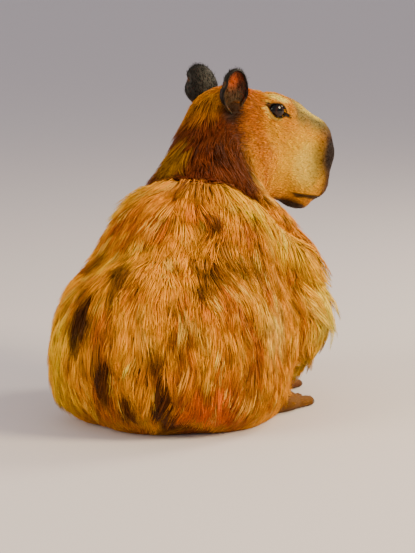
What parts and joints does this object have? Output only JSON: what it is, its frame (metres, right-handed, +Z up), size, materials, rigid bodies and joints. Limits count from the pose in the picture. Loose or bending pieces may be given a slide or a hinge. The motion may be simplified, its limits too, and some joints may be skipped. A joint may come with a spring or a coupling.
{
  "type": "capybara",
  "caption": "Life-size capybara that sits on its rump with its head turned to its right, with body, head, ears, eyes, legs, feet and nails as separate nodes.",
  "frame": {"origin": "on the floor, in the middle of the flat that the rump sits on", "axes": "+Z up, the body faces -Y, +X is the animal's own left"},
  "size_m": [0.5332, 0.7485, 0.6517],
  "materials": {
    "coat": "golden brown coat of coarse hair",
    "face": "short golden brown hair",
    "ear": "thin dark skin with sparse hair",
    "foot": "brown skin with short hair",
    "eye": "wet and near black",
    "nail": "dark horn"
  },
  "bodies": {
    "root": {"torso": "coat", "neck": "coat", "ear_left": "ear", "eye_left": "eye", "ear_right": "ear", "eye_right": "eye", "head": "face", "haunch_left": "coat", "foreleg_left": "coat", "nail_fore_left_1": "nail", "nail_fore_left_2": "nail", "nail_fore_left_3": "nail", "nail_fore_left_4": "nail", "forefoot_left": "foot", "nail_hind_left_1": "nail", "nail_hind_left_2": "nail", "nail_hind_left_3": "nail", "hindfoot_left": "foot", "haunch_right": "coat", "foreleg_right": "coat", "nail_fore_right_1": "nail", "nail_fore_right_2": "nail", "nail_fore_right_3": "nail", "nail_fore_right_4": "nail", "forefoot_right": "foot", "nail_hind_right_1": "nail", "nail_hind_right_2": "nail", "nail_hind_right_3": "nail", "hindfoot_right": "foot"}
  },
  "joints": []
}
